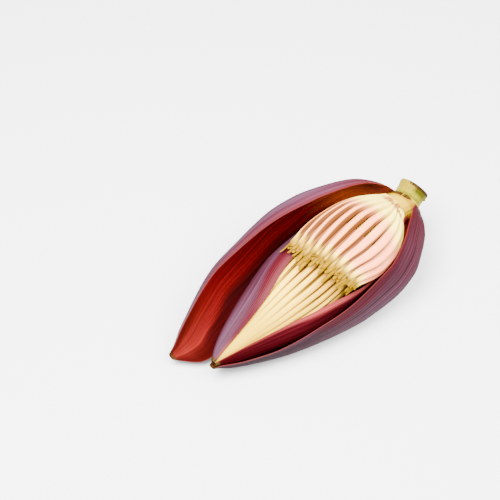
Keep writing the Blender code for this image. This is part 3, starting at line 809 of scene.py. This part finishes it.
def floret_look(cream, pink):
    """Cream with a pink flush, golden margins, painted shade in the gaps between the florets and on the second
    row that shows in them, yellow mouths and red-brown scars at the neck.
    """
    g = new_material("floret_cream_pink")
    along, upper, flank, share, row = g.painted("own", "upper", "flank", "share", "row")
    blotch = g.mottle(90.0, 2.0) - 0.5
    own = g.noise(share * 31.0, 0.0, 5.0, 0.0)
    fine = g.noise(flank * 7.0 + share * 40.0, along * 4.0, upper * 7.0)
    start = 0.16 + own * 0.2
    mid = along.step(start, start + 0.16) * (along + blotch * 0.1).step(0.93, 0.8)
    side = (flank + blotch * 1.4 + (own - 0.5) * 1.6).step(-0.15, 0.75)
    # low is small on the underside and one flank of each floret: golden margins and, lowest, painted shade go
    # there
    low = upper * 0.8 + flank * 0.35
    ends = (along + blotch * 0.05).step(0.86, 0.96)
    scar = (along + blotch * 0.12).step(0.105, 0.06) * g.mottle(95.0, 1.0).step(0.5, 0.6)
    tone = g.coats(
        cream,
        (mid, (1.0, 0.44, 0.18)),
        (mid * side * 0.95, pink),
        ((share + blotch * 0.1).step(0.12, 0.0) * mid * 0.75, (0.3, 0.072, 0.034)),
        (low.step(0.32, 0.2) * low.step(-0.04, 0.12) * 0.55, (0.5, 0.3, 0.006)),
        # painted shade in the gaps between the florets, stronger toward their mouths
        (low.step(0.1, -0.06) * along.step(0.12, 0.45, 0.2, 0.97), (0.07, 0.022, 0.0015)),
        (ends * 0.9, (0.58, 0.33, 0.003)),
        ((along + blotch * 0.06).step(0.925, 0.985) * 0.95, (0.18, 0.098, 0.0)),
        # painted shade: the second-row florets, which show only in the gaps, are coloured dark brown
        (row * (0.85 - ends * 0.5), (0.095, 0.032, 0.002)),
        (scar * 0.9, (0.25, 0.052, 0.014)))
    bump = g.noise(flank * 7.0, along * 4.0, upper * 7.0)
    tone = g.shade(tone, fine.step(0.3, 0.7, 0.92, 1.12))
    return principled(g, tone, along.step(0.0, 1.0, 0.42, 0.34), 0.1, bump, 0.12)


class BLOSSOM_OT_florets(bpy.types.Operator):
    """Builds both rows of florets"""
    bl_idname = "blossom.florets"
    bl_label = "Florets"

    def execute(self, context):
        cfg = context.scene.blossom_florets
        edges, tubes, start = [], [], 0
        for order, (share, steps, options) in enumerate(floret_plan(cfg.florets)):
            middle, _, up, half, own = floret_line(share, steps, **options)
            taper = (0.62 + 0.38 * np.sqrt(smooth(1.0, 0.975, own))) * (1 - 0.1 * smooth(0.35, 0.85, own))
            second = np.full(steps, float(order > cfg.florets))
            tubes.append((middle, up, half * taper * MM, own, np.full(steps, share), second))
            edges += [(start + i, start + i + 1) for i in range(steps - 1)]
            start += steps
        middle, up, half, own, share, second = (np.concatenate(values) for values in zip(*tubes))
        piece = mesh_piece("floret_hand_look", to_part(middle), [], edges, lift=up, half_width=half, own=own,
                           share=share, row=second)
        grow(piece, floret_tree(), Look=floret_look(cfg.cream, cfg.pink))
        hand_over(piece, "floret", "floret_hand")
        return {"FINISHED"}


# ---------------------------------------------------------------- lobes
def lobe_petal():
    """One lobe: a fleshy finger with a blunt curled end, one long along +Z from its foot and one wide."""
    t = np.array([0.0, 0.3, 0.6, 0.82, 0.92, 0.975, 1.0])[:, None]
    s = np.linspace(-1, 1, 5)[None, :]
    rows, columns = t.size, s.size
    half = 0.5 * (0.86 + 0.14 * np.sin(math.pi * t)) * np.sqrt(1 - 0.9 * np.clip((t - 0.88) / 0.12, 0, 1) ** 2)
    x = 0.1 * t + 0.36 * t ** 3 + 0.18 * (1 - s ** 2)
    face = np.stack(np.broadcast_arrays(x, half * s, t * (1.0 - 0.04 * t ** 2)), axis=-1)
    depth = 0.46 * (1 - 0.45 * t) * np.clip(1.02 - s ** 2, 0.2, 1)
    back = face - np.array([1.0, 0, -0.05]) * depth[..., None]
    size = rows * columns
    border = grid_border(rows, columns)
    faces = (grid_faces(rows, columns) + grid_faces(rows, columns, size)
             + strip((size + border).tolist(), border.tolist()))
    reach, crest = np.broadcast_arrays(t, 1 - s ** 2)
    return outward(mesh_piece("lobe_petal", np.stack([face, back]), faces, reach=np.stack([reach, reach]),
                              crest=np.stack([crest, 0 * crest])))


def lobe_tree(petal):
    """Sets a finger on every point, along its own direction, with sizes and turns from a fixed seed."""
    g, points, long, wide, wander, seed, look = new_tree(
        "yellow_lobes", Length=0.02, Width=0.0031, Wander=0.05, Seed=7, Look=None)
    ident = g.node("GeometryNodeInputID")

    def chance(low, high, salt, scale):
        return g.node("FunctionNodeRandomValue", {2: low, 3: high, "ID": ident, "Seed": seed + salt}, 1,
                      data_type="FLOAT") * scale

    aim, lift = g.named("aim", "lift", kind="FLOAT_VECTOR")
    width, size = g.named("width", "size")
    turn = g.node("FunctionNodeAxesToRotation", {"Primary Axis": aim, "Secondary Axis": lift}, primary_axis="Z",
                  secondary_axis="X")
    stray = g.vector(*(chance(-most, most, salt, wander) for salt, most in ((1, 1.0), (2, 1.0), (3, 2.0))))
    turn = g.node("FunctionNodeRotateRotation", {0: turn, 1: g.node("FunctionNodeEulerToRotation", {0: stray})},
                  rotation_space="LOCAL")
    wide = width * chance(0.85, 1.15, 4, wide)
    long = size * chance(0.82, 1.12, 5, long)
    shape = g.node("GeometryNodeObjectInfo", {"Object": petal}, "Geometry")
    placed = g.node("GeometryNodeInstanceOnPoints", {
        "Points": points, "Instance": shape, "Rotation": turn, "Scale": g.vector(wide, wide, long)})
    return close_tree(g, placed, (look, True))


def lobe_look(yellow):
    """Waxy yellow with a painted highlight along the crests of the ribs, painted shade in the grooves between
    them and on the backs, and browner at the feet.
    """
    g = new_material("lobe_yellow")
    reach, crest = g.painted("reach", "crest")
    blotch = g.mottle(240.0, 2.0)
    tone = g.coats(
        yellow,
        # painted highlight on the crest of each rib, in patches
        (blotch.step(0.35, 0.66) * crest, (0.25, 0.132, 0.0)),
        # painted shade at the sides of each rib and on its back
        (crest.step(0.4, 0.0) * 0.75, (0.062, 0.024, 0.0)),
        (reach.step(0.2, 0.0) * 0.5, (0.14, 0.062, 0.0)),
        ((reach + (blotch - 0.5) * 0.5).step(0.85, 1.1) * 0.4, (0.175, 0.092, 0.0)))
    return principled(g, tone, reach.step(0.0, 1.0, 0.4, 0.52), 0.0, g.mottle(900.0, 2.0), 0.1)


def mouth_lobes(order, share, spot, aim, lift, top, ribs):
    """The lobes at one mouth, as (foot, aim, lift, size, width): a tongue of ribs side by side, on every other
    floret with a shorter one on top, then a short horn that curls away beside the mouth."""
    side = np.cross(lift, aim)
    reach = 1.0 - 0.15 * abs(2 * share - 1) ** 3 - 0.18 * (share < 0.05)
    reach *= 0.92 + 0.13 * math.cos(order * 2.3)
    tongue = [(f, 0) for f in np.linspace(-1, 1, ribs)] + [(0.1, 1)] * (order % 2)
    for k, (f, raised) in enumerate(tongue):
        yield (spot - aim * 4.5 + side * f * 1.05 + lift * (top - 0.6 + 0.9 * raised),
               aim + side * f * (0.03 + 0.05 * math.cos(order * 2.9)) - lift * (0.13 - 0.05 * raised),
               lift + side * f * 0.35,
               reach * (0.64 if raised else 0.9 + 0.13 * math.cos(order * 1.7 + 2.4 * k)), 1.0)
    side = side * (-1.0 if order % 3 else 1.0)
    yield (spot + aim * (0.4 + 0.8 * math.cos(order * 1.1)) + side * 1.8 + lift * (top - 1.1),
           aim * (0.6 + 0.3 * math.cos(2.1 * order)) + side + lift * 0.5, lift - aim * 0.5,
           0.17 + 0.03 * math.cos(1.3 * order), 0.85)


class BLOSSOM_OT_lobes(bpy.types.Operator):
    """Builds the yellow lobes at the mouths of the front florets"""
    bl_idname = "blossom.lobes"
    bl_label = "Yellow Lobes"

    def execute(self, context):
        cfg = context.scene.blossom_florets
        lobes = []
        for order, (share, steps, options) in enumerate(floret_plan(cfg.florets)[:cfg.florets + 1]):
            middle, along, up, half, _ = floret_line(share, steps, **options)
            lobes += mouth_lobes(order, share, middle[-1], along[-1], up[-1], 0.55 * half[-1], cfg.lobes)
        spots, aims, lifts, sizes, widths = zip(*lobes)
        piece = mesh_piece("floret_lobes", to_part(spots), [], aim=aims, lift=lifts, size=sizes, width=widths)
        petal = lobe_petal()
        grow(piece, lobe_tree(petal), Length=cfg.lobe_length, Look=lobe_look(cfg.yellow))
        bpy.data.objects.remove(petal, do_unlink=True)
        hand_over(piece, "floret")
        return {"FINISHED"}


# ---------------------------------------------------------------- stem
def heading(turn, rise):
    """Unit vector along +X, turned toward +Y and raised."""
    turn, rise = math.radians(turn), math.radians(rise)
    return np.array([math.cos(rise) * math.cos(turn), math.cos(rise) * math.sin(turn), math.sin(rise)])


def stem_knobs(place, spin):
    """Height share of the two small brown knobs, one on the stub and one under the ring scar."""
    apart = [np.hypot((place - at) / size, (spin - turn) * STUB_RADIUS / size) for at, turn, size in KNOBS]
    return sum(np.clip(1 - a * a, 0, 1) for a in apart)


def stem_rings(sides, fibre):
    """Fine rings of the neck and the stub, with the place of each, the angles around it, and the middle and the
    heading of the last one."""
    places = np.concatenate([np.linspace(*run, 24) for run in (
        (STEM_FOOT, 204), (204.3, 211), (211.5, STEM_END))])
    spin = np.linspace(0, 2 * math.pi, sides, endpoint=False)
    rings, middle, last = [], None, STEM_FOOT
    for place, radius in zip(places, ease(STEM, places)[:, 0]):
        bend = float(smooth(STEM_FOOT + 6, STEM_TURNED, place))
        cut = float(smooth(STEM_TURNED, STEM_END, place))
        bent = heading(*STEM_BEND) * (1 - cut) + heading(*STEM_CUT) * cut
        along = unit(heading(0, 0) * (1 - bend) + bent * bend)
        if place <= STEM_TURNED - 4:
            middle = np.array([place, *ease(BUD_AXIS, place)[0]])
        else:
            middle = middle + along * (place - last)
        last = place
        side = unit(np.cross((0, 0, 1), along))
        up = np.cross(along, side)
        ridge = (np.cos(spin * 24 + 1.5 * np.sin(spin * 3)) + 0.6 * np.cos(spin * 41 + place * 0.1)) * fibre
        lump = 0.35 * np.cos(spin * 3 + place * 0.12) + 0.2 * np.cos(spin * 5 - place * 0.2)
        r = radius + (ridge + lump * 0.5) * smooth(STEM_FOOT, STEM_FOOT + 8, place)
        r = r + KNOB_HEIGHT * stem_knobs(place, spin)
        rings.append(middle + r[:, None] * (np.outer(np.cos(spin), up) - np.outer(np.sin(spin), side)))
    return rings, places, spin, middle, along


def stem_look(green, cream, scar):
    """Green stub and cream neck with fibres, a golden band, painted highlights and painted shade on the stub, a
    brown ring scar, knobs and cut rim.
    """
    g = new_material("stem_yellow_green")
    place, knob = g.painted("place", "knob")
    turn = g.uv()[0] * math.tau
    blotch = g.mottle(110.0, 3.0)
    fibre = g.noise(turn.cos() * 16.0, turn.sin() * 16.0, place * 0.06)
    # painted shade along one side of the stub near its cut rim
    shade = (turn - 0.78).cos().step(0.7, 0.98) * place.step(217.0, 221.0) * place.step(225.0, 223.2)
    # painted highlights in patches on the stub
    painted_glint = place.step(211.0, 215.0) * place.step(220.0, 214.0) * blotch.step(0.42, 0.6)
    tone = g.coats(
        cream,
        (place.step(206.0, 212.0), green),
        (place.step(206.5, 203.0) * fibre.step(0.55, 0.72) * 0.5, (0.32, 0.15, 0.002)),
        (painted_glint * 0.8, (0.23, 0.2, 0.001)),
        (shade * 0.9, (0.036, 0.033, 0.0001)),
        # painted highlight on one side of the stub
        ((turn + 0.5).cos().step(0.5, 0.95) * place.step(212.0, 218.0) * 0.6, (0.3, 0.2, 0.004)),
        (place.step(202.6, 205.0) * place.step(207.4, 206.2) * 0.75, (0.26, 0.13, 0.001)))
    ragged = (blotch - 0.5) * 1.3
    thick = (turn + 0.33).cos().step(0.62, 0.86, 0.25, 1.55)
    band = (turn - 0.72).cos().step(0.5, 0.72, 0.1, 2.9)
    bark = g.mix(fibre.step(0.38, 0.62), scar, (0.044, 0.017, 0.0035))
    tone = g.coats(
        g.shade(tone, fibre.step(0.3, 0.7, 0.84, 1.14)),
        (abs(place + ragged * 0.4 - 207.3).step(thick + 0.25, thick - 0.2) * 0.97, bark),
        ((place + ragged * 0.6 + band).step(226.4, 227.0) * 0.97, bark),
        (knob.step(0.35, 0.6) * 0.95, bark))
    return principled(g, tone, place.step(206.0, 226.0, 0.42, 0.5), 0.04, g.mottle(500.0, 3.0), 0.25)


class BLOSSOM_OT_stem(bpy.types.Operator):
    """Builds the neck and the bent stub with its scars and cut end"""
    bl_idname = "blossom.stem"
    bl_label = "Stem"

    def execute(self, context):
        cfg = context.scene.blossom_stem
        sides = 144
        rings, places, spin, middle, along = stem_rings(sides, cfg.fibre_height / MM)
        knobs = [stem_knobs(at, spin) for at in places]
        rim = rings[-1]
        # The cut face: rings that step in, a little hollow and torn, to the middle point.
        for k, share in enumerate((0.93, 0.84, 0.7, 0.52, 0.34, 0.17)):
            torn = 0.25 * np.cos(spin * 17 + k * 2.1) + 0.2 * np.cos(spin * 29 + k)
            sink = 0.5 + 0.5 * (1 - share) + 0.35 * torn * share
            rings.append(middle + (rim - middle) * share - along * sink[:, None])
            places = np.append(places, STEM_END + (1 - share) * 10)
            knobs.append(0 * spin)
        count = len(rings)
        last = range((count - 1) * sides, count * sides)
        faces = grid_faces(count, sides, 0, True) + [tuple(range(sides))]
        faces += [(last[k - 1], last[k], count * sides) for k in range(sides)]
        place = np.append(np.repeat(places, sides), STEM_END + 10)
        turn = np.append(np.tile(spin / math.tau, count), 0.0)
        piece = outward(mesh_piece(
            "stem_look", to_part(np.vstack([*rings, middle - along])), faces,
            uv=np.stack([turn, place / 240], axis=-1), place=place, knob=np.append(np.concatenate(knobs), 0.0)))
        piece.data.materials.append(stem_look(cfg.green, cfg.cream, cfg.scar))
        hand_over(piece, "stem", "stem")
        return {"FINISHED"}


# ---------------------------------------------------------------- stage
class BLOSSOM_OT_stage(bpy.types.Operator):
    """Sets the floor, the lights and the camera"""
    bl_idname = "blossom.stage"
    bl_label = "Stage"

    def execute(self, context):
        cfg = context.scene.blossom_stage
        far, drop = 6.0, -0.0002
        corners = [(x * far, y * far, drop) for x, y in ((-1, -1), (1, -1), (1, 1), (-1, 1))]
        floor = mesh_piece("floor", corners, [(0, 1, 2, 3)])
        floor.data.materials.append(principled(new_material("floor_paper"), (*cfg.floor, 1.0), 0.9))
        world = bpy.data.worlds.new("soft_sky")
        world.use_nodes = True
        sky = world.node_tree.nodes["Background"]
        sky.inputs["Color"].default_value = (1.0, 1.0, 1.0, 1.0)
        sky.inputs["Strength"].default_value = cfg.sky
        context.scene.world = world
        camera = bpy.data.objects.new("camera", bpy.data.cameras.new("camera"))
        camera.data.lens = 85.0
        camera.data.sensor_width = 36.0
        camera.rotation_euler = (math.radians(90) - cfg.elevation, 0.0, cfg.azimuth)
        turn = camera.rotation_euler.to_matrix()
        camera.location = Vector(to_part(CAMERA_AIM)) + turn @ Vector((*CAMERA_SHIFT, cfg.distance))
        context.scene.collection.objects.link(camera)
        context.scene.camera = camera
        centre = Vector((0.0, 0.0, 0.03))
        for name, at, power, size in (
                ("key", (-0.34, 0.46, 1.0), cfg.key, 0.7),
                ("fill", (0.5, 0.4, 1.0), cfg.key * 0.6, 0.9)):
            data = bpy.data.lights.new(name, "AREA")
            data.shape, data.size, data.energy = "DISK", size, power
            light = bpy.data.objects.new(name, data)
            light.location = centre + turn @ Vector(at)
            light.rotation_euler = (light.location - centre).to_track_quat("Z", "Y").to_euler()
            context.scene.collection.objects.link(light)
        return {"FINISHED"}


class BLOSSOM_PT_panel(bpy.types.Panel):
    """Blossom settings and the steps that build it"""
    bl_idname = "BLOSSOM_PT_panel"
    bl_label = "Banana Blossom"
    bl_space_type = "VIEW_3D"
    bl_region_type = "UI"
    bl_category = "Blossom"

    def draw(self, context):
        for step, _ in STEPS:
            box = self.layout.box()
            box.operator(step.bl_idname)
            settings = getattr(context.scene, settings_name(step), None)
            for key in getattr(settings, "__annotations__", ()):
                box.prop(settings, key)


STEPS = (
    (BLOSSOM_OT_stage, BLOSSOM_PG_stage),
    (BLOSSOM_OT_bracts, BLOSSOM_PG_bracts),
    (BLOSSOM_OT_heart, BLOSSOM_PG_heart),
    (BLOSSOM_OT_florets, BLOSSOM_PG_florets),
    (BLOSSOM_OT_lobes, None),
    (BLOSSOM_OT_stem, BLOSSOM_PG_stem),
)


def settings_name(step):
    """Where a step's settings are kept on the scene; the lobes share the florets'."""
    return step.bl_idname.replace(".", "_")


def register():
    for step, group in STEPS:
        bpy.utils.register_class(step)
        if group:
            bpy.utils.register_class(group)
            setattr(bpy.types.Scene, settings_name(step), bpy.props.PointerProperty(type=group))
    bpy.utils.register_class(BLOSSOM_PT_panel)


def unregister():
    bpy.utils.unregister_class(BLOSSOM_PT_panel)
    for step, group in reversed(STEPS):
        if group:
            delattr(bpy.types.Scene, settings_name(step))
            bpy.utils.unregister_class(group)
        bpy.utils.unregister_class(step)


def main():
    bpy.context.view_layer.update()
    register()
    for step, _ in STEPS:
        family, action = step.bl_idname.split(".")
        getattr(getattr(bpy.ops, family), action)()
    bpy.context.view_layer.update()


if __name__ == "__main__":
    main()
